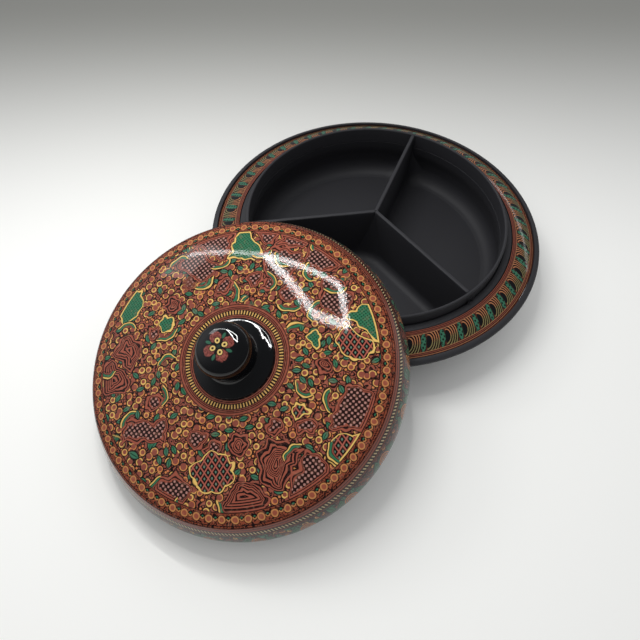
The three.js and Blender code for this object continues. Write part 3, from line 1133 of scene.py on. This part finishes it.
class DISH_OT_crown(bpy.types.Operator):
    """Make the lid's patterned crown"""

    bl_idname = "covered_dish.crown"
    bl_label = "Lid crown"

    def execute(self, context):
        inside = black_lacquer(LID_PLACE, "lid_black_lacquer")
        turned_piece(
            "lid_crown", "lid", crown_lacquer(),
            second=inside, picks=lambda outwards, up: up > 0.02 or outwards > 0.5, rounding=0.3,
        )
        return {"FINISHED"}


class DISH_OT_knob(bpy.types.Operator):
    """Make the turned knob and the peg that holds it"""

    bl_idname = "covered_dish.knob"
    bl_label = "Knob and peg"

    def execute(self, context):
        steps = context.scene.turning_settings.knob_steps
        turned_piece("knob", "lid", knob_lacquer(), steps=steps, shape=knob_shape)
        turned_piece("knob_peg", "lid", core_lacquer(LID_PLACE, "peg_lacquer"), steps=steps)
        return {"FINISHED"}


# The stage


def toward(bearing, elevation):
    """The direction at a bearing, counted from the back towards the right, and an elevation, in degrees."""
    bearing, elevation = math.radians(bearing), math.radians(elevation)
    flat = math.cos(elevation)
    return Vector((math.sin(bearing) * flat, math.cos(bearing) * flat, math.sin(elevation)))


def lamp(name, start, end, width, radiance, distance=0.6):
    """A rectangular lamp that faces the lid: its middle line runs between two directions seen from there, and its
    radiance is what a mirror would show of it."""
    first, last = toward(*start) * distance, toward(*end) * distance
    along, away = last - first, (first + last) / 2
    light = bpy.data.lights.new(name, "AREA")
    light.shape = "RECTANGLE"
    light.size, light.size_y = along.length, width
    light.energy = math.pi * radiance * along.length * width
    spot = bpy.data.objects.new(name, light)
    turned = Matrix((along.normalized(), away.cross(along).normalized(), away.normalized()))
    spot.matrix_world = Matrix.Translation(LID_PLACE.translation + away) @ turned.transposed().to_4x4()
    bpy.context.scene.collection.objects.link(spot)


def camera_place():
    """The photograph's viewpoint, from a fit of the dish's and lid's outlines: the camera looks at the dish's
    middle from an elevation, then pans, tilts and rolls."""
    distance, height = 502 * MM, 47.1 * MM
    elevation, pan, tilt, roll = (math.radians(turn) for turn in (46.1, -4.6, -10.9, 6.3))
    spot = Vector((0, -distance * math.cos(elevation), distance * math.sin(elevation)))
    ahead = -spot.normalized()
    right = Vector((1, 0, 0))
    up = right.cross(ahead)
    aim = (ahead * math.cos(pan) + right * math.sin(pan)) * math.cos(tilt) + up * math.sin(tilt)
    across = right * math.cos(pan) - ahead * math.sin(pan)
    upward = across.cross(aim)
    rolled = across * math.cos(roll) + upward * math.sin(roll)
    top = -across * math.sin(roll) + upward * math.cos(roll)
    turned = Matrix((rolled, top, -aim)).transposed().to_4x4()
    return Matrix.Translation(spot + Vector((0, 0, height))) @ turned


class DISH_OT_stage(bpy.types.Operator):
    """Make the pale floor, the lamps, the sky and the camera"""

    bl_idname = "covered_dish.stage"
    bl_label = "Stage"

    def execute(self, context):
        scene = context.scene
        scene.view_settings.view_transform = "Standard"
        half = 3.0
        mesh = bpy.data.meshes.new("floor")
        mesh.from_pydata([(-half, -half, 0), (half, -half, 0), (half, half, 0), (-half, half, 0)], [], [(0, 1, 2, 3)])
        floor = bpy.data.objects.new("floor", mesh)
        scene.collection.objects.link(floor)
        mesh.materials.append(floor_finish())

        camera = bpy.data.cameras.new("camera")
        focal_pixels, picture_pixels = 530, 640
        camera.sensor_width = 36
        camera.lens = focal_pixels / picture_pixels * camera.sensor_width
        spot = bpy.data.objects.new("camera", camera)
        spot.matrix_world = camera_place()
        scene.collection.objects.link(spot)
        scene.camera = spot

        # A frame of thin lamps overhead, whose outline shows in the crown and the knob, with an arm to the left.
        corners = ((-40, 58), (1, 71), (15, 83), (-48, 78))
        for index, corner in enumerate(corners):
            lamp(f"frame_{index}", corner, corners[(index + 1) % len(corners)], width=0.02, radiance=40)
        lamp("frame_arm", (-56, 40), corners[0], width=0.015, radiance=22)
        lamp("left_panel", (-68, 42), (-52, 42), width=0.3, radiance=3.5, distance=1.6)
        lamp("low_strip", (-8, 15), (60, 15), width=0.04, radiance=4, distance=1.6)
        scene.world = sky()
        return {"FINISHED"}


def sky():
    """An even light, and in reflections the dim room that the black lacquer shows: paler on the left and at the
    back than in front and on the right."""
    world = bpy.data.worlds.new("room")
    world.use_nodes = True
    tree = world.node_tree
    background = next(node for node in tree.nodes if node.type == "BACKGROUND")
    place = add(tree, "ShaderNodeTexCoord").outputs["Generated"]
    ahead = Field(tree, add(tree, "ShaderNodeSeparateXYZ", {"Vector": place}).outputs["Y"])
    back = ahead.most(0.0)
    left = add(tree, "ShaderNodeVectorMath", {0: place, 1: toward(-75, 28)}, operation="DOT_PRODUCT")
    paler = Field(tree, left.outputs["Value"]).most(0.0) ** 6.0
    at_back, at_left, everywhere = 0.12, 0.55, 0.14
    room = back * back * at_back + paler * at_left + everywhere
    path = add(tree, "ShaderNodeLightPath")
    shown = [Field(tree, path.outputs[f"Is {ray} Ray"]) for ray in ("Camera", "Glossy", "Transmission")]
    front_to_back, even = 0.25, 0.66
    light = ahead * front_to_back + even
    join(tree, (room - light) * shown[0].most(shown[1]).most(shown[2]) + light, background.inputs["Strength"])
    join(tree, rgba("fbfcff"), background.inputs["Color"])
    return world


def floor_finish():
    """Pale paper, with painted shade that darkens it towards the back."""
    material = bpy.data.materials.new("floor_paper")
    material.use_nodes = True
    tree = material.node_tree
    shader = next(node for node in tree.nodes if node.type == "BSDF_PRINCIPLED")
    place = add(tree, "ShaderNodeSeparateXYZ", {"Vector": add(tree, "ShaderNodeTexCoord").outputs["Object"]})
    # Painted shade: the paper's colour darkens from front to back, standing for the light falling off there.
    slant, pale_until, dark_from = 0.154, -0.05, 0.52
    ahead, right = Field(tree, place.outputs["Y"]), Field(tree, place.outputs["X"])
    back = add(tree, "ShaderNodeMapRange", {
        "Value": ahead - right * slant, "From Min": pale_until, "From Max": dark_from,
    }, interpolation_type="SMOOTHSTEP").outputs["Result"]
    mix = add(tree, "ShaderNodeMix", {"Factor": back}, data_type="RGBA")
    for socket, shade in zip(colour_sockets(mix.inputs), ("f6f6f2", "92928d")):
        join(tree, rgba(shade), socket)
    join(tree, colour_sockets(mix.outputs)[0], shader.inputs["Base Color"])
    shader.inputs["Roughness"].default_value = 0.9
    shader.inputs["Specular IOR Level"].default_value = 0.1
    return material


# Panel and registration

PIECES = (
    DISH_OT_base_board,
    DISH_OT_bowl_wall,
    DISH_OT_brim,
    DISH_OT_rims,
    DISH_OT_well,
    DISH_OT_dividers,
    DISH_OT_mouth_ring,
    DISH_OT_lid_side,
    DISH_OT_crown,
    DISH_OT_knob,
    DISH_OT_stage,
)


class DISH_PT_pieces(bpy.types.Panel):
    """Lists the pieces of the covered dish"""

    bl_idname = "DISH_PT_pieces"
    bl_label = "Covered dish"
    bl_space_type = "VIEW_3D"
    bl_region_type = "UI"
    bl_category = "Covered dish"

    def draw(self, context):
        for settings in (context.scene.lacquer_settings, context.scene.turning_settings, context.scene.well_settings):
            box = self.layout.box()
            for name in settings.__annotations__:
                box.prop(settings, name)
        for maker in PIECES:
            self.layout.operator(maker.bl_idname)


SETTINGS = {
    "lacquer_settings": LacquerSettings,
    "turning_settings": TurningSettings,
    "well_settings": WellSettings,
}


def register():
    for kind in (*SETTINGS.values(), *PIECES, DISH_PT_pieces):
        bpy.utils.register_class(kind)
    for name, kind in SETTINGS.items():
        setattr(bpy.types.Scene, name, bpy.props.PointerProperty(type=kind))


def unregister():
    for name in SETTINGS:
        delattr(bpy.types.Scene, name)
    for kind in reversed((*SETTINGS.values(), *PIECES, DISH_PT_pieces)):
        bpy.utils.unregister_class(kind)


def main():
    register()
    for maker in PIECES:
        group, name = maker.bl_idname.split(".")
        getattr(getattr(bpy.ops, group), name)()


if __name__ == "__main__":
    main()
